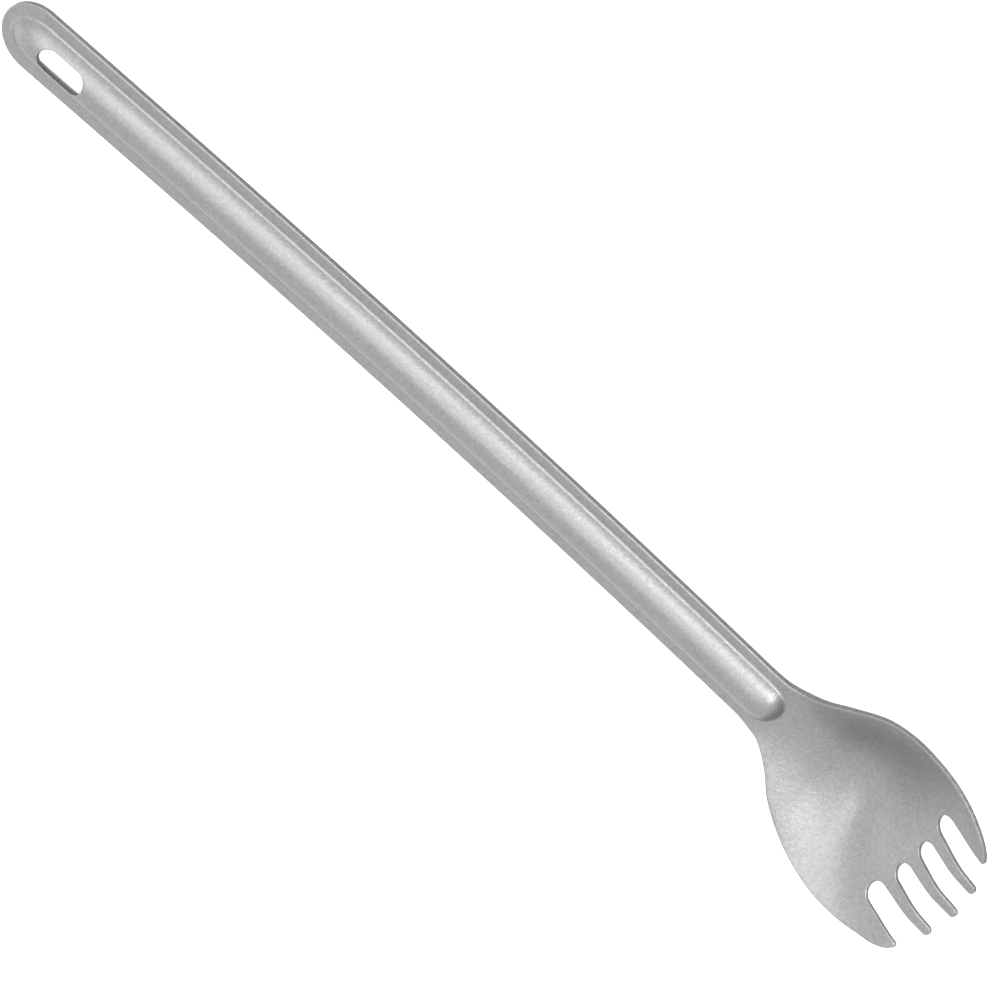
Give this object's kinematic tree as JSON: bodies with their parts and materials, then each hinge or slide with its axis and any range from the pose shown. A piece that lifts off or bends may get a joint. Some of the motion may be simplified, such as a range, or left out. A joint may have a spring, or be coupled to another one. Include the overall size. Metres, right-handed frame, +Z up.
{
  "type": "spork",
  "caption": "Long-handled spork of pressed metal sheet, with a raised bead along its handle, a slot to hang it by, and a dished bowl that ends in tines.",
  "frame": {"origin": "middle of the spork's outline, on the table that it lies on with its bowl open upward", "axes": "+Y from the handle's end to the tines, +Z up and out of the bowl, +X to the right of the handle"},
  "size_m": [0.0386, 0.218, 0.0158],
  "materials": {
    "titanium": "sandblasted titanium with tumbled edges"
  },
  "bodies": {
    "root": {"spork": "titanium"}
  },
  "joints": []
}
